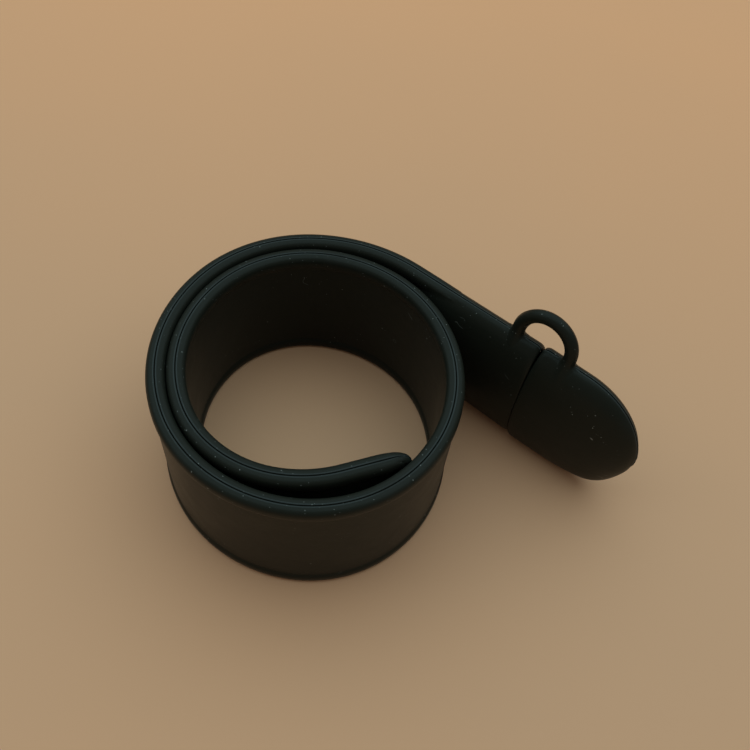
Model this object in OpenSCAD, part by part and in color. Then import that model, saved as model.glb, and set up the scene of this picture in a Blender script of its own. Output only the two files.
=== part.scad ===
// Coiled rubber wristband with a flash drive in its straight end.
// It stands on its lower edge: Z runs across the band, the straight end points along +X,
// and the origin is the middle of the wrist hollow at the lower edge.

/* [Band] */
// Width of the band, which is its height as it stands
band_w = 22; // [20:0.5:25]
// Thickness of the rounded rims along the two edges
rim_t = 2.6; // [2.2:0.1:2.8]
// Thickness of the web between the rims
web_t = 2.1; // [1.6:0.1:2.2]
// Corner radius of the free end
tip_r = 2.9; // [2.8:0.1:5]
// Straight run at the free end
tip_run = 10.2; // [6:0.1:10.2]

/* [Coil] */
// Where the straight end turns into the coil, along X
bend_x = 0.4; // [-1:0.1:1]
// How far the straight end lies from the middle of the coil
tail_y = 21.7; // [21:0.1:24]

/* [Drive housing] */
// Where the seam between the housing and the cap lies, along X
seam_x = 24; // [22:0.1:27]
// Width of the seam
seam_gap = 0.3; // [0.2:0.05:0.5]
// Thickness of the housing at its middle
housing_t = 7; // [6.4:0.1:7.4]
// How far the bulge's sides reach from the middle line before they sink into the web
bulge_reach = 9.4; // [8.8:0.1:9.6]
// How far past the bend the bulge rises out of the web
bulge_lead = 1.2; // [0:0.1:3]
// Radius of the arc that softens the corners at the seam
corner_r = 1.25; // [0.8:0.05:1.5]

/* [Cap] */
// How much taller than the band the cap is
cap_over = 0.3; // [0:0.1:0.6]
// Straight length of the cap before its round nose
cap_straight = 7.6; // [6.5:0.1:9]
// Thickness of the cap at its middle
cap_t = 7.1; // [6.4:0.1:7.6]

/* [Tether loop] */
// Thickness of the loop's rod
tether_t = 2; // [1.6:0.1:2.2]
// Radius of the half ring to the rod's middle
tether_r = 4.3; // [3.8:0.1:4.8]
// Height of the half ring's middle above the band's upper edge
tether_lift = 1; // [0.6:0.1:1.6]
// Backward lean of the loop in degrees
tether_lean = 8; // [0:1:10]

/* [Plug] */
// Width of the hidden plug
plug_w = 12; // [11.8:0.1:12.2]
// Thickness of the hidden plug
plug_t = 2.4; // [2:0.1:2.6]
// Length of the plug inside the cap
plug_out = 11.8; // [10:0.1:12]
// Length of the plug inside the housing
plug_in = 6; // [4:0.5:8]
// Room left round the plug on every side
plug_room = 0.1; // [0.05:0.01:0.2]

/* [Hidden] */
$fn = 96;

rim_r = rim_t / 2;
tether_rod = tether_t / 2;
cap_w = band_w + cap_over;
seam_half = seam_gap / 2;
housing_end = seam_x - seam_half;
cap_start = seam_x + seam_half;
plug_z = band_w / 2;
// Middle of the housing bulge's round inner end
bulge_x = bend_x + bulge_lead + bulge_reach;
// Facets round the bulge's large arcs
bulge_fn = 360;
// Gap between the tether's feet and the rims that they sit on
foot_gap = 0.05;
// Every other stretch of the band is this much slimmer on each side and runs this far into its neighbours
slim = 0.01;
lap = 0.1;
// The arc at a seam corner has its centre this far from the seam and from the band's edge
corner_in = 0.8 * corner_r;
corner_down = 0.96 * corner_r;
// Overrun of a cut past the faces that it goes through
over = 1;

// Plan of the coil from the straight end to the free end, an arc a row
RADIUS = 0;
TURN = 1;
coil = [
    [22.4, 40],
    [20.9, 50],
    [23.7, 60],
    [21.5, 60],
    [19.3, 60],
    [22.3, 60],
    [20.0, 60],
    [17.8, 60],
    [20.8, 60],
    [16.7, 50],
    [16.0, 36]
];

// Direction of travel, starting point and centre of arc i, found from the arcs before it
function heading(i) = i == 0 ? 180 : heading(i - 1) + coil[i - 1][TURN];
function side(angle) = [cos(angle + 90), sin(angle + 90)];
function centre(i) = joint(i) + coil[i][RADIUS] * side(heading(i));
function joint(i) = i == 0 ? [bend_x, tail_y] : centre(i - 1) - coil[i - 1][RADIUS] * side(heading(i));

// Section across the band: thickness along X, width along Y from 0 to w, with each side taken in by less
module band_section(w, less = 0) {
    translate([0, rim_r]) circle(r = rim_r - less);
    translate([0, w - rim_r]) circle(r = rim_r - less);
    translate([less - web_t / 2, rim_r]) square([web_t - 2 * less, w - rim_t]);
}

// Two arcs that sink into the web, as thick as t at the middle of a band of width w,
// and end at the middle of the rims
module bulge_section(w, t) {
    rise = t / 2 - web_t / 2;
    reach = bulge_reach * w / band_w;
    arc_r = (reach * reach + rise * rise) / (2 * rise);
    intersection() {
        translate([t / 2 - arc_r, w / 2]) circle(r = arc_r, $fn = bulge_fn);
        translate([arc_r - t / 2, w / 2]) circle(r = arc_r, $fn = bulge_fn);
        translate([-t, rim_r]) square([2 * t, w - rim_t]);
    }
}

// Upper half of a section, laid down so that it can be turned round the middle of the width
module half_section(w) {
    rotate(-90)
        intersection() {
            translate([0, -w / 2]) children();
            translate([-w, 0]) square([2 * w, w]);
        }
}

// Stretch of the straight end from x0 to x1, its section given as the child
module along_tail(x0, x1) {
    translate([x0, tail_y, 0])
        rotate([90, 0, 90])
            linear_extrude(height = x1 - x0)
                children();
}

// Round end of a section of width w about the point x, towards +X, or -X when back is set
module round_end(x, w, back = false) {
    translate([x, tail_y, w / 2])
        rotate([90, 0, 0])
            rotate([0, 0, back ? 90 : -90])
                rotate_extrude(angle = 180)
                    half_section(w) children();
}

// Wedges that take the corners off at the seam, on the side of the seam that lies towards dir
module seam_corners(x, w, dir) {
    for (end = [0, 1])
        translate([x, tail_y, end * w])
            mirror([dir < 0 ? 1 : 0, 0, 0])
                mirror([0, 0, end])
                    difference() {
                        translate([-over, -rim_t, -over])
                            cube([over + corner_in, 2 * rim_t, over + corner_down]);
                        translate([corner_in, 0, corner_down])
                            rotate([90, 0, 0])
                                cylinder(r = corner_r, h = 3 * rim_t, center = true);
                    }
}

// Arc i of the coil, slimmer and lapped at both ends when inner is 1
module coil_arc(i, inner) {
    extra = inner * lap / coil[i][RADIUS] * 180 / PI;
    translate([centre(i)[0], centre(i)[1], 0])
        rotate([0, 0, heading(i) - 90 - extra])
            rotate_extrude(angle = coil[i][TURN] + 2 * extra)
                translate([coil[i][RADIUS], 0]) band_section(band_w, inner * slim);
}

// Free end: a straight run whose rim turns two corners and closes the end
module free_end() {
    ring = tip_r - rim_r;
    last = len(coil);
    translate([joint(last)[0], joint(last)[1], 0])
        rotate([0, 0, heading(last)]) {
            translate([-lap, 0, 0])
                rotate([90, 0, 90])
                    linear_extrude(height = lap + tip_run - tip_r)
                        band_section(band_w, slim);
            translate([tip_run - tip_r, slim - web_t / 2, tip_r])
                cube([ring, web_t - 2 * slim, band_w - 2 * tip_r]);
            translate([tip_run - rim_r, 0, tip_r])
                cylinder(r = rim_r - slim, h = band_w - 2 * tip_r);
            for (end = [0, 1])
                translate([tip_run - tip_r, 0, end == 0 ? tip_r : band_w - tip_r])
                    rotate([90, end == 0 ? 90 : 0, 0]) {
                        rotate_extrude(angle = 90)
                            translate([ring, 0]) circle(r = rim_r - slim);
                        intersection() {
                            cylinder(r = ring, h = web_t - 2 * slim, center = true);
                            translate([0, 0, -web_t]) cube([tip_r, tip_r, 2 * web_t]);
                        }
                    }
        }
}

// Pocket for the plug between x0 and x1
module plug_pocket(x0, x1) {
    translate([x0, tail_y - plug_t / 2 - plug_room, plug_z - plug_w / 2 - plug_room])
        cube([x1 - x0, plug_t + 2 * plug_room, plug_w + 2 * plug_room]);
}

module wristband() {
    color([0.035, 0.035, 0.037])
        union() {
            difference() {
                union() {
                    along_tail(bend_x - lap, housing_end) band_section(band_w, slim);
                    along_tail(bulge_x, housing_end) bulge_section(band_w, housing_t);
                    round_end(bulge_x, band_w, true) bulge_section(band_w, housing_t);
                }
                seam_corners(housing_end, band_w, -1);
                plug_pocket(housing_end - plug_in - plug_room, housing_end + over);
            }
            for (i = [0 : len(coil) - 1])
                coil_arc(i, i % 2);
            free_end();
        }
}

module cap() {
    nose_x = cap_start + cap_straight;
    color([0.035, 0.035, 0.037])
        difference() {
            union() {
                along_tail(cap_start, nose_x) {
                    band_section(cap_w);
                    bulge_section(cap_w, cap_t);
                }
                round_end(nose_x, cap_w) {
                    band_section(cap_w);
                    bulge_section(cap_w, cap_t);
                }
            }
            seam_corners(cap_start, cap_w, 1);
            plug_pocket(cap_start - over, cap_start + plug_out + plug_room);
        }
}

module cap_tether() {
    color([0.04, 0.04, 0.042])
        difference() {
            translate([seam_x, tail_y, band_w])
                rotate([-tether_lean, 0, 0]) {
                    translate([0, 0, tether_lift])
                        rotate([90, 0, 0])
                            rotate_extrude(angle = 180)
                                translate([tether_r, 0]) circle(r = tether_rod);
                    for (dir = [-1, 1])
                        translate([dir * tether_r, 0, -tether_rod])
                            cylinder(r = tether_rod, h = tether_rod + tether_lift);
                }
            translate([seam_x - tether_r - tether_t, tail_y, band_w - rim_r])
                rotate([0, 90, 0])
                    cylinder(r = rim_r + foot_gap, h = tether_r + tether_t);
            translate([seam_x, tail_y, cap_w - rim_r])
                rotate([0, 90, 0])
                    cylinder(r = rim_r + foot_gap, h = tether_r + tether_t);
        }
}

module usb_plug() {
    color([0.1, 0.1, 0.1])
        translate([housing_end - plug_in, tail_y - plug_t / 2, plug_z - plug_w / 2])
            cube([plug_in + seam_gap + plug_out, plug_t, plug_w]);
}

wristband();
cap();
cap_tether();
usb_plug();
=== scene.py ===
import math

import bmesh
import bpy
from mathutils import Matrix, Vector, noise


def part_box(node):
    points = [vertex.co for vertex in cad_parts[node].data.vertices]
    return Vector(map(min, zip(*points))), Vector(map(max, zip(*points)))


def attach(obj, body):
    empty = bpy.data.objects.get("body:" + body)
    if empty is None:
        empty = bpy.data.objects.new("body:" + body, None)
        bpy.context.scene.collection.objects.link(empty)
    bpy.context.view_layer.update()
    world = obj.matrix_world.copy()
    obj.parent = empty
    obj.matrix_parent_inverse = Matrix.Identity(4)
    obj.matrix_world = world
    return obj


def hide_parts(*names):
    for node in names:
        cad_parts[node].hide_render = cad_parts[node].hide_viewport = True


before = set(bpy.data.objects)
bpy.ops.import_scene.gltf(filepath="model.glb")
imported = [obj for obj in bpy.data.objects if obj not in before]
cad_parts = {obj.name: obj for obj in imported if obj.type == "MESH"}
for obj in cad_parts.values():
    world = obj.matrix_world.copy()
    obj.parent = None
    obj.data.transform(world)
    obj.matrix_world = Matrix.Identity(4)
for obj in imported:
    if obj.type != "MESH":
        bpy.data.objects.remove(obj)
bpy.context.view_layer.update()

# Sizes are in millimetres here and become metres where they meet Blender
mm = 0.001
bandLow, bandHigh = [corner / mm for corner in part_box("wristband")]
capLow, capHigh = [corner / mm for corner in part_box("cap")]
print("frame loaded")

# The bracelet stands on the band's lower edge, and its straight end runs along X
lay = {
    "seamX": bandHigh.x + 0.05,     # the housing ends a little past the CAD's
    "turn": 2,                      # the cap turns a little forwards, in degrees
    "tailY": (capLow.y + capHigh.y) / 2,
    "midZ": (bandLow.z + bandHigh.z) / 2,
    "halfWidth": (bandHigh.z - bandLow.z) / 2,
    "closeBy": 0.002,               # points this near a station belong to it
}
pocket = {"over": 1, "halfWidth": 6.1, "inBand": 6.1, "bandReach": 1.6, "inCap": 11.9, "capReach": 1.75}


# Tools for modelling by hand

def openPiece(piece):
    bpy.ops.object.select_all(action="DESELECT")
    bpy.context.view_layer.objects.active = piece
    piece.select_set(True)
    bpy.ops.object.mode_set(mode="EDIT")
    bpy.ops.mesh.select_mode(type="VERT")


def closePiece():
    bpy.ops.object.mode_set(mode="OBJECT")


def pick(piece, test):
    # selects the points that pass the test, and what lies between them
    mesh = bmesh.from_edit_mesh(piece.data)
    for point in mesh.verts:
        point.select = test(point.co / mm)
    mesh.select_flush(True)
    mesh.select_flush(False)
    bmesh.update_edit_mesh(piece.data)


def move(x, y, z):
    bpy.ops.transform.translate(value=(x * mm, y * mm, z * mm))


def pull(x, y, z):
    bpy.ops.mesh.extrude_region_move(TRANSFORM_OT_translate={"value": (x * mm, y * mm, z * mm)})


def weld(distance=0.004):
    bpy.ops.mesh.select_all(action="SELECT")
    bpy.ops.mesh.remove_doubles(threshold=distance * mm)


def drawOutline(name, points):
    # one point, pulled along from place to place
    bpy.ops.object.select_all(action="DESELECT")
    bpy.ops.mesh.primitive_plane_add(size=mm, location=(0, 0, 0))
    piece = bpy.context.object
    piece.name = name
    piece.data.name = name
    openPiece(piece)
    bpy.ops.mesh.select_all(action="SELECT")
    bpy.ops.mesh.merge(type="CENTER")
    move(*points[0])
    for here, there in zip(points, points[1:]):
        pull(*(there - here))
    bpy.ops.mesh.select_all(action="SELECT")
    return piece


def markLipDustAndHighlight(piece):
    # the lips beside the parting line get the piece's second material slot, which paints them paler: partly
    # dust, partly a painted highlight
    for slot in (0, 1):
        piece.data.materials.append(None)
    openPiece(piece)
    low, high = partingLine["flash"]
    for sign in (1, -1):
        pick(piece, lambda p: low < p.y * sign < high)
        piece.active_material_index = 1
        bpy.ops.object.material_slot_assign()
    closePiece()


def addModifier(piece, kind, **settings):
    bpy.ops.object.select_all(action="DESELECT")
    bpy.context.view_layer.objects.active = piece
    piece.select_set(True)
    modifier = piece.modifiers.new(kind.title(), kind)
    for key, value in settings.items():
        setattr(modifier, key, value)
    bpy.ops.object.modifier_apply(modifier=modifier.name)


def turnTail():
    # turns what is picked forwards about the middle of the seam; the sign is the tool's own
    bpy.ops.transform.rotate(
        value=math.radians(lay["turn"]), orient_axis="Z",
        center_override=(lay["seamX"] * mm, lay["tailY"] * mm, 0))


def swell(piece, name, height, reach, direction="NORMAL"):
    # paints a weight on each point and pushes the surface out by it, height at full weight
    group = piece.vertex_groups.new(name=name)
    for point in piece.data.vertices:
        weight = reach(point.co / mm)
        if weight > 0:
            group.add([point.index], min(weight, 1), "REPLACE")
    addModifier(piece, "DISPLACE", vertex_group=name, strength=height * mm, mid_level=0, direction=direction)
    piece.vertex_groups.remove(piece.vertex_groups[name])


def mirrorOver(piece):
    addModifier(piece, "MIRROR", use_axis=(False, False, True), use_clip=True, merge_threshold=0.004 * mm)


def cutPocket(piece, depth, reach, rise):
    # the slot for the plug, which reaches this far to the front and back, its middle moved up by rise
    low = Vector((-pocket["over"], -reach, rise - pocket["halfWidth"]))
    high = Vector((depth, reach, rise + pocket["halfWidth"]))
    bpy.ops.object.select_all(action="DESELECT")
    bpy.ops.mesh.primitive_cube_add(size=1, location=(low + high) / 2 * mm)
    cutter = bpy.context.object
    cutter.scale = (high - low) * mm
    bpy.ops.object.transform_apply(location=True, rotation=False, scale=True)
    addModifier(piece, "BOOLEAN", object=cutter, operation="DIFFERENCE", solver="EXACT")
    bpy.data.objects.remove(cutter, do_unlink=True)


def faceOutwards(piece):
    openPiece(piece)
    weld()
    bpy.ops.mesh.normals_make_consistent(inside=False)
    closePiece()


def shade(piece, angle):
    bpy.ops.object.select_all(action="DESELECT")
    bpy.context.view_layer.objects.active = piece
    piece.select_set(True)
    bpy.ops.object.shade_smooth_by_angle(angle=math.radians(angle))


# Rim and parting line, shared by the band and the cap

rim = {
    "power": 3.0,       # 2 would be a round crown
    "steps": 6,
    "deepest": 0.3,     # more than a round crown lies below this one
}
partingLine = {
    "zone": 0.38,               # the crown keeps its own points this far each side of the line
    "flash": (0.076, 0.294),    # from where to where the lips' paler colour lies, each side: dust and a painted highlight
    "lipFoot": 0.28,
    "lipAt": 0.18,
    "lipHeight": 0.035,
    "grooveHalf": 0.095,
    "grooveDepth": 0.22,
}


def crownMarks():
    # across the crown from front to back, as (y, how deep the line lies there, its lips negative)
    line = partingLine
    front = [
        (line["zone"], 0),
        (line["lipFoot"], 0),
        (line["lipAt"], -line["lipHeight"]),
        (line["grooveHalf"], 0),
    ]
    return front + [(0, line["grooveDepth"])] + [(-y, extra) for y, extra in reversed(front)]


def roundDrop(y, radius):
    # how far a round crown lies below its top at y
    return radius - math.sqrt(max(radius * radius - y * y, 0))


def crownDrop(y, radius):
    # the same for the rim's own crown, which is flatter
    power = rim["power"]
    return radius * (1 - max(1 - (abs(y) / radius) ** power, 0) ** (1 / power))


def crownPoints(radius):
    # from the widest place to the line's marks
    power = rim["power"]
    last = math.acos((partingLine["zone"] / radius) ** (power / 2))
    turns = [last * i / (rim["steps"] + 1) for i in range(rim["steps"] + 1)]
    share = 2 / power
    side = [(radius * math.cos(a) ** share, radius - radius * math.sin(a) ** share) for a in turns]
    marks = [(y, crownDrop(y, radius) + extra) for y, extra in crownMarks()]
    return side + marks + [(-y, z) for y, z in reversed(side)]


def arcPoints(centreY, centreZ, radius, start, end, count):
    # points between two angles in degrees, both ends left out
    turns = [math.radians(start + (end - start) * (i + 1) / (count + 1)) for i in range(count)]
    return [(centreY + radius * math.cos(a), centreZ + radius * math.sin(a)) for a in turns]


# Section of the thick part: a full oval between the two crowns
oval = {"half": 3.4, "power": 2.2}


def ovalHalf(distance, reach, middle):
    # half its thickness at a distance from the middle line
    return middle * math.sqrt(max(1 - (distance / reach) ** oval["power"], 0))


def ovalCrown(y, reach, middle):
    # how far below the crown's top the oval is at y
    return reach * (1 - (1 - (y / middle) ** 2) ** (1 / oval["power"]))


# The wristband, modelled flat and then bent along its plan

band = {
    "rimRadius": 1.34,
    "tailRim": 1.10,
    "tipRim": 0.78,
    "webHalf": 1.05,
    "fillet": 0.8,
    "corner": 2.64,
    "tipRun": 9.7,
    "bendX": 1.4,
    "turn": 0.6,            # the housing turns a little less than the cap
    "arcs": (
        (23.76, 41.4), (20.53, 50), (24.05, 60), (21.18, 60), (19.4, 60), (21.98, 60),
        (20.26, 60), (17.68, 60), (20.83, 60), (16.45, 58.6), (18.47, 26.7),
    ),
    # where the walls lean, as (middle, reach, how far the lower edge lies in)
    "leans": ((13, 19, -0.45), (84, 34, 0.65), (209, 36, 0.65)),
    "seamSteps": (0.06, 0.10, 0.14, 0.16, 0.20, 0.25, 0.30, 0.35, 0.42),
    "housingStep": 0.5,
    "coilStep": 0.95,
    "webRows": 17,
    "cornerSteps": 9,
    "pathSteps": 64,
    "crease": 38,               # edges sharper than this stay sharp, in degrees
    "taper": (9, 19),
    "tipTaper": 4.5,
    "swelling": (-3, 9),        # from where to where the housing thickens, along X
    "thickest": 3,              # more than it swells on either face
}
seamEdge = {"corner": 1.0, "soft": 0.16}


def rimOutline(radius, webHalf, fillet, depth):
    # from the web's front round the crown to the web's back, the crown at the bottom
    rise = math.sqrt((radius + fillet) ** 2 - (webHalf + fillet) ** 2)
    lean = math.degrees(math.atan2(rise, webHalf + fillet))
    front = [(webHalf, depth), (webHalf, radius + rise)]
    front += arcPoints(webHalf + fillet, radius + rise, fillet, 180, 180 + lean, 3)
    # the crown's side starts a step early, so that its first point is where the fillet ends
    front += arcPoints(0, radius, radius, lean * 4 / 3, 0, 3)
    back = [(-y, z) for y, z in reversed(front)]
    return front + crownPoints(radius) + back


def arcEnds(start, heading, arcs):
    # the path's knots as (place, heading there, handle length on the way in and out)
    knots = []
    place, angle = Vector(start), heading
    for radius, turn in arcs:
        handle = radius * math.tan(math.radians(turn) / 4) * 4 / 3
        knots.append((place.copy(), angle, handle))
        side = Vector((-math.sin(angle), math.cos(angle)))
        centre = place + side * radius
        angle += math.radians(turn)
        place = centre + Vector((math.sin(angle), -math.cos(angle))) * radius
    return knots, place, angle


def layPath():
    # the band's plan: straight, eleven arcs, straight
    seam = Vector((lay["seamX"], lay["tailY"]))
    turn = math.radians(band["turn"])
    bend = seam + Vector((-1, math.tan(turn))) * (lay["seamX"] - band["bendX"])
    knots, last, heading = arcEnds(bend, math.pi - turn, band["arcs"])
    end = last + Vector((math.cos(heading), math.sin(heading))) * band["tipRun"]
    straight = (bend - seam).length
    stops = [(seam, math.pi - turn, 0, straight / 3)]
    before = straight / 3
    for place, angle, handle in knots:
        stops.append((place, angle, before, handle))
        before = handle
    stops.append((last, heading, before, band["tipRun"] / 3))
    stops.append((end, heading, band["tipRun"] / 3, 0))
    bpy.ops.object.select_all(action="DESELECT")
    bpy.ops.curve.primitive_bezier_curve_add(location=(0, 0, 0))
    path = bpy.context.object
    path.data.dimensions = "2D"
    path.data.resolution_u = band["pathSteps"]
    spline = path.data.splines[0]
    spline.bezier_points.add(len(stops) - 2)
    for knot, (place, angle, inwards, outwards) in zip(spline.bezier_points, stops):
        way = Vector((math.cos(angle), math.sin(angle), 0))
        knot.handle_left_type = knot.handle_right_type = "FREE"
        knot.co = place.to_3d() * mm
        knot.handle_left = (place.to_3d() - way * inwards) * mm
        knot.handle_right = (place.to_3d() + way * outwards) * mm
    length = straight + band["tipRun"] + sum(r * math.radians(t) for r, t in band["arcs"])
    return path, length


def buildBand():
    path, length = layPath()
    half = lay["halfWidth"]
    depth = band["corner"]
    outline = rimOutline(band["rimRadius"], band["webHalf"], band["fillet"], depth)
    piece = drawOutline("wristband_rubber", [Vector((0, y, z - half)) for y, z in outline])

    # the lower rim out to the corner, round it, and up the free end to the middle
    along = 0
    for step in band["seamSteps"]:
        pull(step, 0, 0)
        along += step
    housing = lay["seamX"] - band["bendX"] - along
    count = round(housing / band["housingStep"])
    for i in range(count):
        pull(housing / count, 0, 0)
    coil = length - depth - along - housing
    count = round(coil / band["coilStep"])
    for i in range(count):
        pull(coil / count, 0, 0)
    bpy.ops.mesh.spin(
        steps=band["cornerSteps"], angle=math.radians(90), axis=(0, 1, 0),
        center=((length - depth) * mm, 0, (depth - half) * mm))
    rows = band["webRows"]
    for i in range(rows):
        pull(0, 0, (half - depth) / rows)
    weld()

    # the web's two faces, pulled up from the rim's inner edges
    for sign in (1, -1):
        pick(piece, lambda p: abs(p.y - sign * band["webHalf"]) < 0.01
             and abs(p.z - depth + half) < 0.01 and p.x < length - depth + 0.01)
        for i in range(rows):
            pull(0, 0, (half - depth) / rows)
    weld(0.01)
    closePiece()
    mirrorOver(piece)
    markLipDustAndHighlight(piece)
    print("band swept, length", round(length, 1))

    # rims thinner beside the drive and at the free end
    stations = sorted({round(v.co.x / mm, 3) for v in piece.data.vertices})
    openPiece(piece)
    start, stop = band["taper"]
    tipStart = length - band["tipTaper"]
    for station in stations:
        tail = min(max((station - start) / (stop - start), 0), 1)
        tip = min(max((station - tipStart) / band["tipTaper"], 0), 1)
        wide = band["tailRim"] + (band["rimRadius"] - band["tailRim"]) * tail * tail * (3 - 2 * tail)
        wide += (band["tipRim"] - band["rimRadius"]) * tip * tip * (3 - 2 * tip)
        if abs(wide - band["rimRadius"]) > 0.001:
            pick(piece, lambda p: abs(p.x - station) < lay["closeBy"])
            bpy.ops.transform.resize(value=(1, wide / band["rimRadius"], 1), center_override=(0, 0, 0))
    closePiece()

    # beside the drive the crown is round, not flattened
    def roundOff(p, sign):
        share = 1 - min(max((p.x - start) / (stop - start), 0), 1)
        if share == 0 or p.z * sign < half - band["rimRadius"]:
            return 0
        y = min(abs(p.y) * band["rimRadius"] / band["tailRim"], band["rimRadius"])
        return share * (roundDrop(y, band["rimRadius"]) - crownDrop(y, band["rimRadius"])) / rim["deepest"]

    for sign in (1, -1):
        swell(piece, "crown", -rim["deepest"] * sign, lambda p: roundOff(p, sign), direction="Z")

    # the housing swells out of the web on both faces
    thin, thick = [lay["seamX"] - x for x in band["swelling"]]

    def housingLift(p, sign):
        if p.y * sign <= partingLine["zone"] or p.x > thin:
            return 0
        rise = min((thin - p.x) / (thin - thick), 1)
        middle = oval["half"] * rise * rise * (3 - 2 * rise)
        return max(ovalHalf(abs(p.z), half, middle) - abs(p.y), 0) / band["thickest"]

    for sign in (1, -1):
        swell(piece, "housing", band["thickest"] * sign, lambda p: housingLift(p, sign), direction="Y")

    # the housing leans back, and both wraps lean in at the left of the front
    def leaning(p, middle, reach):
        off = abs(p.x - middle) / reach
        return math.cos(off * math.pi / 2) ** 2 * (0.5 - p.z / half / 2) if off < 1 else 0

    for middle, reach, height in band["leans"]:
        swell(piece, "lean", height, lambda p: leaning(p, middle, reach), direction="Y")

    roundSeamEnd(piece, half)
    cutPocket(piece, pocket["inBand"], pocket["bandReach"], 0)
    faceOutwards(piece)
    addModifier(piece, "CURVE", object=path, deform_axis="POS_X")
    openPiece(piece)
    bpy.ops.mesh.select_all(action="SELECT")
    move(0, 0, lay["midZ"])
    closePiece()
    bpy.data.objects.remove(path, do_unlink=True)
    shade(piece, band["crease"])
    return piece


def roundSeamEnd(piece, half):
    # corners rounded in the face's outline, then the edge all round softened
    corner, soft = seamEdge["corner"], seamEdge["soft"]
    stations = sorted({round(v.co.x / mm, 3) for v in piece.data.vertices})
    openPiece(piece)
    for station in stations:
        if station < corner:
            drop = corner - math.sqrt(corner ** 2 - (corner - station) ** 2)
            pick(piece, lambda p: abs(p.x - station) < lay["closeBy"])
            bpy.ops.transform.resize(value=(1, 1, (half - drop) / half), center_override=(0, 0, 0))
    closePiece()

    def inset(p):
        return 1 - math.sqrt(1 - (1 - max(p.x, 0) / soft) ** 2) if p.x < soft else 0

    faceOutwards(piece)
    swell(piece, "seam", -soft, inset)
    # known fault: the softening has moved most of the end's points along X, so this picks only five or
    # six of them, the end stays open, and the slot's walls are left standing out past it
    openPiece(piece)
    pick(piece, lambda p: abs(p.x) < lay["closeBy"])
    bpy.ops.mesh.edge_face_add()
    closePiece()


wristband = buildBand()
print("wristband built")


# The cap, the same section swept round its nose

cap = {
    "marks": (0, 0.8, 1.6, 2.4, 3.2, 4, 4.8, 5.5, 6.2, 6.8, 7.4, 8, 8.5, 9, 9.4, 9.75, 10.05, 10.3,
              10.5, 10.66, 10.8, 10.9, 10.98, 11.04),
    "noseSteps": 48,
    "step": 0.5,
    "reach": 0.10,          # how far the cap runs past the CAD's face into the seam
    "noseShort": 0.1,       # how far the nose stops short of the CAD's
    "gateHeight": 0.26,
    "gateRise": (-3, -1),   # the gate mark rises steeply and falls slowly, in degrees round the nose
    "gateFall": (6, 26),
    "gateRough": 0.35,      # this share of its height is uneven
    "gateGrain": 0.45,
    "gateSeed": 3.1,
    "gateHalves": (0.2, 0.5),       # it is full to the first, and lower to the second
    "gateShoulder": 0.45,
    "fuller": 0.80,
    "fullerAt": -46,        # in degrees round the nose, as its reach each way
    "fullerReach": 30,
    "fullerLead": 1,
    "lean": 0.3,            # beside the seam the lower edge lies this far forwards
    "leanReach": 9,
}


def buildCap():
    startX = capLow.x - cap["reach"]
    half = (capHigh.z - capLow.z) / 2
    middle = oval["half"]
    front = [(ovalHalf(at, half, middle), -at) for at in cap["marks"]]
    crown = [(y, ovalCrown(y, half, middle) - half + extra) for y, extra in crownMarks()]
    back = [(-y, z) for y, z in reversed(front)]
    piece = drawOutline("cap_rubber", [Vector((0, y, z)) for y, z in front + crown + back])
    along = 0
    for step in band["seamSteps"]:
        pull(step, 0, 0)
        along += step
    noseX = capHigh.x - startX - half - cap["noseShort"]
    count = round((noseX - along) / cap["step"])
    for i in range(count):
        pull((noseX - along) / count, 0, 0)
    bpy.ops.mesh.spin(
        steps=cap["noseSteps"], angle=math.radians(90), axis=(0, 1, 0), center=(noseX * mm, 0, 0))
    weld()
    closePiece()
    mirrorOver(piece)
    markLipDustAndHighlight(piece)
    roundSeamEnd(piece, half)

    # the nose is a little fuller below
    def fuller(p):
        far = math.hypot(max(p.x - noseX, 0), p.z) / half
        off = abs(math.degrees(math.atan2(p.z, p.x - noseX)) - cap["fullerAt"]) / cap["fullerReach"]
        if off >= 1 or p.x <= noseX - cap["fullerLead"]:
            return 0
        return far ** 3 * math.cos(off * math.pi / 2) ** 2

    swell(piece, "fuller", -cap["fuller"], fuller, direction="Z")

    def leaning(p):
        return max(1 - p.x / cap["leanReach"], 0) * (0.5 - p.z / half / 2)

    swell(piece, "lean", -cap["lean"], leaning, direction="Y")

    # the rough mark that the gate left on the nose
    def gate(p):
        angle = math.degrees(math.atan2(p.z, p.x - noseX))
        full, edge = cap["gateHalves"]
        if p.x < noseX or abs(p.y) > edge:
            return 0
        (riseFrom, riseTo), (fallFrom, fallTo) = cap["gateRise"], cap["gateFall"]
        start = min(max((angle - riseFrom) / (riseTo - riseFrom), 0), 1)
        stop = min(max((fallTo - angle) / (fallTo - fallFrom), 0), 1)
        uneven = noise.noise(Vector((angle * cap["gateGrain"], cap["gateSeed"], 0)))
        rough = 1 - cap["gateRough"] + cap["gateRough"] * uneven
        return start * stop * rough * (1 if abs(p.y) < full else cap["gateShoulder"])

    swell(piece, "gate", cap["gateHeight"], gate, direction="X")
    cutPocket(piece, pocket["inCap"], pocket["capReach"], lay["midZ"] - (capLow.z + capHigh.z) / 2)
    faceOutwards(piece)
    openPiece(piece)
    bpy.ops.mesh.select_all(action="SELECT")
    move(startX, lay["tailY"], (capLow.z + capHigh.z) / 2)
    turnTail()
    closePiece()
    shade(piece, band["crease"])
    return piece


capPiece = buildCap()
print("cap built")


# The tether loop: a half ring whose legs run into the rims

tether = {
    "centreX": 23.8,
    "radius": 4.27,
    "lift": 1.03,
    "rod": 0.99,
    "around": 48,
    "ringSteps": 48,
    "seamRidge": 0.04,
    "ridgeFrom": -0.2,
    "lean": 8.6,
    "footDepth": 3.4,
    "footRows": 44,
    "fillet": 0.35,         # along the band
    "frontFillet": 1.3,
    "spread": 1.0,          # the feet widen by no more than this
    "sink": 0.015,          # their skirts end this far inside the rims
    "halvings": 14,
    "crease": 50,
}


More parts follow.
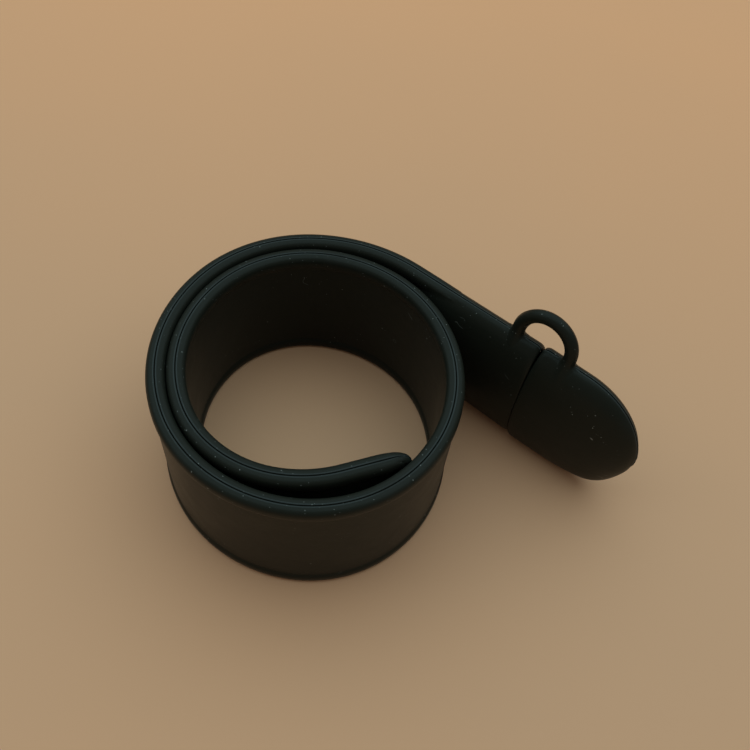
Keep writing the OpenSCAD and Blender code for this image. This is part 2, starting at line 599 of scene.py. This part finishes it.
def footSpread(point, axisPoint, reach, crownZ):
    # how far the leg has to widen at this point so that it flows into the rim
    outwards = (point - axisPoint).normalized()
    fillet = tether["fillet"] + (tether["frontFillet"] - tether["fillet"]) * outwards.y ** 2

    def inside(distance):
        at = axisPoint + outwards * distance
        below = crownZ - at.z
        if below >= 2 * reach - 0.01:
            return False
        depth = abs(below - reach) / reach
        level = (at.y / oval["half"]) ** 2 + depth ** oval["power"] - 1
        steep = oval["power"] / reach * depth ** (oval["power"] - 1)
        slope = math.hypot(2 * at.y / oval["half"] ** 2, steep)
        body = level / slope + tether["sink"]
        leg = distance - tether["rod"]
        mix = max(fillet - abs(leg - body), 0) / fillet
        return min(leg, body) - mix * mix * fillet / 4 < 0

    low, high = 0, tether["spread"]
    if inside(tether["rod"] + high):
        return high
    for i in range(tether["halvings"]):
        middle = (low + high) / 2
        if inside(tether["rod"] + middle):
            low = middle
        else:
            high = middle
    return low


def buildTether():
    top = lay["midZ"] + lay["halfWidth"]
    bpy.ops.object.select_all(action="DESELECT")
    bpy.ops.mesh.primitive_circle_add(
        vertices=tether["around"], radius=tether["rod"] * mm, location=(0, 0, 0))
    piece = bpy.context.object
    piece.name = piece.data.name = "tether_rubber"
    openPiece(piece)
    bpy.ops.mesh.select_all(action="SELECT")
    move(-tether["radius"], 0, tether["lift"])
    bpy.ops.mesh.spin(
        steps=tether["ringSteps"], angle=math.radians(180), axis=(0, -1, 0),
        center=(0, 0, tether["lift"] * mm))
    for side in (-1, 1):
        pick(piece, lambda p: abs(p.z - tether["lift"]) < 0.001 and p.x * side > 0)
        for i in range(tether["footRows"]):
            pull(0, 0, -(tether["lift"] + tether["footDepth"]) / tether["footRows"])
        bpy.ops.mesh.edge_face_add()
    weld()
    bpy.ops.mesh.normals_make_consistent(inside=False)
    closePiece()

    # the mould's line stands a little proud round the outside and the inside of the ring
    def ridge(p):
        return 1 if abs(p.y) < 0.01 and p.z > tether["ridgeFrom"] else 0

    swell(piece, "ridge", tether["seamRidge"], ridge)

    # feet that flow into the rims
    lean = Matrix.Rotation(math.radians(-tether["lean"]), 3, "X")

    def foot(p):
        if p.z > tether["lift"] - 0.01:
            return 0
        side = 1 if p.x > 0 else -1
        axisPoint = lean @ Vector((side * tether["radius"], 0, p.z))
        reach = (capHigh.z - capLow.z) / 2 if side > 0 else lay["halfWidth"]
        crownZ = capHigh.z - bandHigh.z if side > 0 else 0
        return footSpread(lean @ p, axisPoint, reach, crownZ) / tether["spread"]

    swell(piece, "foot", tether["spread"], foot)
    openPiece(piece)
    bpy.ops.mesh.select_all(action="SELECT")
    bpy.ops.transform.rotate(
        value=math.radians(tether["lean"]), orient_axis="X", center_override=(0, 0, 0))
    move(tether["centreX"], lay["tailY"], top)
    turnTail()
    closePiece()
    shade(piece, tether["crease"])
    return piece


tetherPiece = buildTether()
print("tether built")


# Finishes

rubber = {
    "colour": (0.0146, 0.0160, 0.0124),
    "haze": (0.0190, 0.0200, 0.0170),
    # paler colour of the lips beside the parting line: partly dust, partly a painted highlight
    "flash": (0.038, 0.044, 0.044),
    "dust": (0.35, 0.36, 0.35),
    "lint": (0.20, 0.21, 0.20),
    "roughness": (0.34, 0.45),
    "ior": 1.42,
    "specularLevel": 0.15,
    "hazeScale": 85,
    "hazeDetail": (5, 0.62),
    "hazeRange": (0.5, 0.78),
    "glossRange": (0.35, 0.75),
    "grainScale": 5200,
    "grainDepth": 0.00002,
    "waveScale": 260,
    "waveDepth": 0.00006,
    # specks as (cells per metre, radius in cells, share of the colour from which a cell is chosen)
    "specks": ((500, 0.066, 0.48), (900, 0.085, 0.52), (1700, 0.115, 0.56)),
    "speckCore": 0.5,       # this share of its radius is at full strength
    "speckRag": 3000,
    "speckWarp": 0.00018,
    "cellEdge": 0.02,
    "speckPatch": 150,
    "patches": (0.52, 0.66, 0.04, 1),       # from and to in the noise, least and most dust
    "rimDust": (0.0195, 0.0205, 0, 0.5),    # the same by height, in metres
    "lintCells": 150,
    "lintChosen": 0.56,
    "lintCurl": 420,
    "lintHalf": 0.011,
    "lintReach": 0.16,
    "lintCore": 0.8,
}


def newMaterial(name):
    material = bpy.data.materials.new(name)
    material.use_nodes = True
    tree = material.node_tree
    return material, tree, tree.nodes["Principled BSDF"]


def blendColours(tree, share, first, second):
    # a colour socket between two colours or sockets
    mix = tree.nodes.new("ShaderNodeMix")
    mix.data_type = "RGBA"
    tree.links.new(share, mix.inputs[0])
    for socket, value in ((mix.inputs[6], first), (mix.inputs[7], second)):
        if isinstance(value, tuple):
            socket.default_value = (*value, 1)
        else:
            tree.links.new(value, socket)
    return mix.outputs[2]


def remap(tree, value, low, high, start=0, stop=1):
    node = tree.nodes.new("ShaderNodeMapRange")
    tree.links.new(value, node.inputs["Value"])
    for key, number in (("From Min", low), ("From Max", high), ("To Min", start), ("To Max", stop)):
        node.inputs[key].default_value = number
    return node.outputs["Result"]


def combine(tree, kind, a, b):
    node = tree.nodes.new("ShaderNodeMath")
    node.operation = kind
    tree.links.new(a, node.inputs[0])
    tree.links.new(b, node.inputs[1])
    return node.outputs[0]


def addNoise(tree, place, scale, detail, rough=0.5):
    node = tree.nodes.new("ShaderNodeTexNoise")
    tree.links.new(place, node.inputs["Vector"])
    node.inputs["Scale"].default_value = scale
    node.inputs["Detail"].default_value = detail
    node.inputs["Roughness"].default_value = rough
    return node.outputs["Fac"]


def addCells(tree, place, scale, share):
    # distance from each cell's middle, and whether the cell is one of the chosen
    cells = tree.nodes.new("ShaderNodeTexVoronoi")
    tree.links.new(place, cells.inputs["Vector"])
    cells.inputs["Scale"].default_value = scale
    chosen = remap(tree, cells.outputs["Color"], share, share + rubber["cellEdge"])
    return cells.outputs["Distance"], chosen


def addBump(tree, height, depth, before=None):
    node = tree.nodes.new("ShaderNodeBump")
    tree.links.new(height, node.inputs["Height"])
    node.inputs["Strength"].default_value = 1
    node.inputs["Distance"].default_value = depth
    if before:
        tree.links.new(before, node.inputs["Normal"])
    return node.outputs["Normal"]


def warp(tree, place, scale, reach):
    # the same places pushed about by a fine noise
    shift = tree.nodes.new("ShaderNodeTexNoise")
    tree.links.new(place, shift.inputs["Vector"])
    shift.inputs["Scale"].default_value = scale
    node = tree.nodes.new("ShaderNodeVectorMath")
    node.operation = "MULTIPLY_ADD"
    tree.links.new(shift.outputs["Color"], node.inputs[0])
    node.inputs[1].default_value = (reach, reach, reach)
    tree.links.new(place, node.inputs[2])
    return node.outputs["Vector"]


def paintRubber(name, base):
    material, tree, surface = newMaterial(name)
    place = tree.nodes.new("ShaderNodeTexCoord").outputs["Object"]
    haze = addNoise(tree, place, rubber["hazeScale"], *rubber["hazeDetail"])
    colour = blendColours(tree, remap(tree, haze, *rubber["hazeRange"]), base, rubber["haze"])

    # dust: the few cells that are chosen show a ragged speck at their middle, all along the upper rim
    # and in patches below it
    ragged = warp(tree, place, rubber["speckRag"], rubber["speckWarp"])
    split = tree.nodes.new("ShaderNodeSeparateXYZ")
    tree.links.new(place, split.inputs["Vector"])
    onRim = remap(tree, split.outputs["Z"], *rubber["rimDust"])
    patches = remap(tree, addNoise(tree, place, rubber["speckPatch"], 2), *rubber["patches"])
    dusty = combine(tree, "MAXIMUM", onRim, patches)
    for scale, size, share in rubber["specks"]:
        distance, chosen = addCells(tree, ragged, scale, share)
        near = remap(tree, distance, size, size * rubber["speckCore"])
        speck = combine(tree, "MULTIPLY", combine(tree, "MULTIPLY", chosen, near), dusty)
        colour = blendColours(tree, speck, colour, rubber["dust"])

    # lint: short pieces of the thin line where a noise crosses its middle value
    distance, chosen = addCells(tree, place, rubber["lintCells"], rubber["lintChosen"])
    curl = addNoise(tree, place, rubber["lintCurl"], 1)
    above = remap(tree, curl, 0.5 - rubber["lintHalf"], 0.5)
    below = remap(tree, curl, 0.5 + rubber["lintHalf"], 0.5)
    near = remap(tree, distance, rubber["lintReach"], rubber["lintReach"] * rubber["lintCore"])
    line = combine(tree, "MULTIPLY", above, below)
    fibre = combine(tree, "MULTIPLY", line, combine(tree, "MULTIPLY", chosen, near))
    colour = blendColours(tree, fibre, colour, rubber["lint"])
    tree.links.new(colour, surface.inputs["Base Color"])

    gloss = remap(tree, haze, *rubber["glossRange"], *rubber["roughness"])
    tree.links.new(gloss, surface.inputs["Roughness"])
    wave = addBump(tree, addNoise(tree, place, rubber["waveScale"], 2), rubber["waveDepth"])
    grain = addBump(tree, addNoise(tree, place, rubber["grainScale"], 3), rubber["grainDepth"], wave)
    tree.links.new(grain, surface.inputs["Normal"])
    surface.inputs["IOR"].default_value = rubber["ior"]
    surface.inputs["Specular IOR Level"].default_value = rubber["specularLevel"]
    return material


plug = {
    "colour": (0.02, 0.021, 0.022),
    "pale": (0.032, 0.0336, 0.0352),
    "roughness": (0.3, 0.5),
    "range": (0.3, 0.7),
    "scale": 900,
}


def paintPlug():
    material, tree, surface = newMaterial("plug_plastic")
    place = tree.nodes.new("ShaderNodeTexCoord").outputs["Object"]
    haze = addNoise(tree, place, plug["scale"], 4)
    tree.links.new(remap(tree, haze, *plug["range"], *plug["roughness"]), surface.inputs["Roughness"])
    tree.links.new(blendColours(tree, haze, plug["colour"], plug["pale"]), surface.inputs["Base Color"])
    return material


silicone = paintRubber("black_silicone", rubber["colour"])
# the lips' material: paler than the rubber, partly dust and partly a painted highlight
flash = paintRubber("dusty_flash", rubber["flash"])
for piece, node in ((wristband, "wristband"), (capPiece, "cap"), (tetherPiece, "cap_tether")):
    if len(piece.data.materials) > 1:
        piece.data.materials[0] = silicone
        piece.data.materials[1] = flash
    else:
        piece.data.materials.append(silicone)
    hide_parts(node)
    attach(piece, "root")
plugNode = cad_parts["usb_plug"]
for slot in plugNode.material_slots:
    slot.material = None
plugNode.data.materials.clear()
plugNode.data.materials.append(paintPlug())
print("finishes painted")


# Camera as the photograph was taken
cameraView = {
    "place": (44.09, -56.86, 120.01),
    "elevation": 54.837,
    "azimuth": 120.896,
    "roll": 7.9495,
    "pixels": 878.4,        # focal length in pixels of the 750-pixel frame
    "frame": 750,
    "offset": 0.5,          # the photo's pixels are counted from their middles
    "sensor": 36,
    "nearest": 0.01,        # nothing nearer than this is drawn, in metres
}


# Floor and light

studio = {
    "floorSize": 3.0,
    # painted light: the floor's back is painted lighter and more orange, its front darker and greyer, for
    # the light falling from behind
    "floorBackPaintedLight": (0.950, 0.448, 0.229),
    "floorFrontPaintedShade": (0.615, 0.385, 0.257),
    "floorBlend": (-0.10, 0.16),
    "floorRoughness": 0.75,
    "mottleScale": 9,
    "mottleReach": 0.08,
    "sky": (0.215, 0.215, 0.185),
    "skyStrength": 1.0,
    "keyPlace": (-430, 446, 900),
    "keySize": (2500, 1700),
    "keyPower": 13.3,
    "keyColour": (0.635, 0.942, 1.0),
}


def setStudio():
    bpy.ops.object.select_all(action="DESELECT")
    bpy.ops.mesh.primitive_plane_add(size=studio["floorSize"], location=(0, 0, 0))
    floor = bpy.context.object
    floor.name = "floor"
    material, tree, surface = newMaterial("floor_paper")
    place = tree.nodes.new("ShaderNodeTexCoord").outputs["Object"]
    turned = tree.nodes.new("ShaderNodeMapping")
    turned.inputs["Rotation"].default_value[2] = math.radians(-cameraView["azimuth"])
    tree.links.new(place, turned.inputs["Vector"])
    # painted light: a ramp from the darker front to the lighter back, with a random mottle on top
    ramp = tree.nodes.new("ShaderNodeTexGradient")
    tree.links.new(turned.outputs["Vector"], ramp.inputs["Vector"])
    mottle = addNoise(tree, place, studio["mottleScale"], 4)
    shift = tree.nodes.new("ShaderNodeMath")
    shift.operation = "MULTIPLY_ADD"
    tree.links.new(mottle, shift.inputs[0])
    shift.inputs[1].default_value = studio["mottleReach"]
    tree.links.new(ramp.outputs["Fac"], shift.inputs[2])
    share = remap(tree, shift.outputs[0], *studio["floorBlend"])
    colour = blendColours(tree, share, studio["floorFrontPaintedShade"], studio["floorBackPaintedLight"])
    tree.links.new(colour, surface.inputs["Base Color"])
    surface.inputs["Roughness"].default_value = studio["floorRoughness"]
    floor.data.materials.append(material)

    world = bpy.data.worlds.new("sky")
    world.use_nodes = True
    sky = world.node_tree.nodes["Background"]
    sky.inputs["Color"].default_value = (*studio["sky"], 1)
    sky.inputs["Strength"].default_value = studio["skyStrength"]
    bpy.context.scene.world = world

    lamp = bpy.data.lights.new("key", "AREA")
    lamp.shape = "RECTANGLE"
    lamp.size, lamp.size_y = studio["keySize"][0] * mm, studio["keySize"][1] * mm
    lamp.energy = studio["keyPower"]
    lamp.color = studio["keyColour"]
    key = bpy.data.objects.new("key", lamp)
    bpy.context.scene.collection.objects.link(key)
    key.location = Vector(studio["keyPlace"]) * mm
    key.rotation_euler = (0, 0, math.radians(cameraView["azimuth"] - 90))
    bpy.context.scene.view_settings.view_transform = "Standard"


setStudio()
print("studio set")


def setCamera():
    elevation = math.radians(cameraView["elevation"])
    azimuth = math.radians(cameraView["azimuth"])
    forward = Vector((
        math.cos(elevation) * math.cos(azimuth),
        math.cos(elevation) * math.sin(azimuth),
        -math.sin(elevation),
    ))
    right = Vector((math.sin(azimuth), -math.cos(azimuth), 0))
    down = forward.cross(right)
    turned = Matrix.Rotation(math.radians(cameraView["roll"]), 3, "Z") @ Matrix((right, down, forward))
    data = bpy.data.cameras.new("camera")
    data.sensor_width = cameraView["sensor"]
    data.lens = cameraView["pixels"] * cameraView["sensor"] / cameraView["frame"]
    data.clip_start = cameraView["nearest"]
    data.shift_x = -cameraView["offset"] / cameraView["frame"]
    data.shift_y = cameraView["offset"] / cameraView["frame"]
    camera = bpy.data.objects.new("camera", data)
    bpy.context.scene.collection.objects.link(camera)
    camera.matrix_world = Matrix.Translation(Vector(cameraView["place"]) * mm) @ Matrix(
        (turned[0], -turned[1], -turned[2])).transposed().to_4x4()
    bpy.context.scene.camera = camera


setCamera()
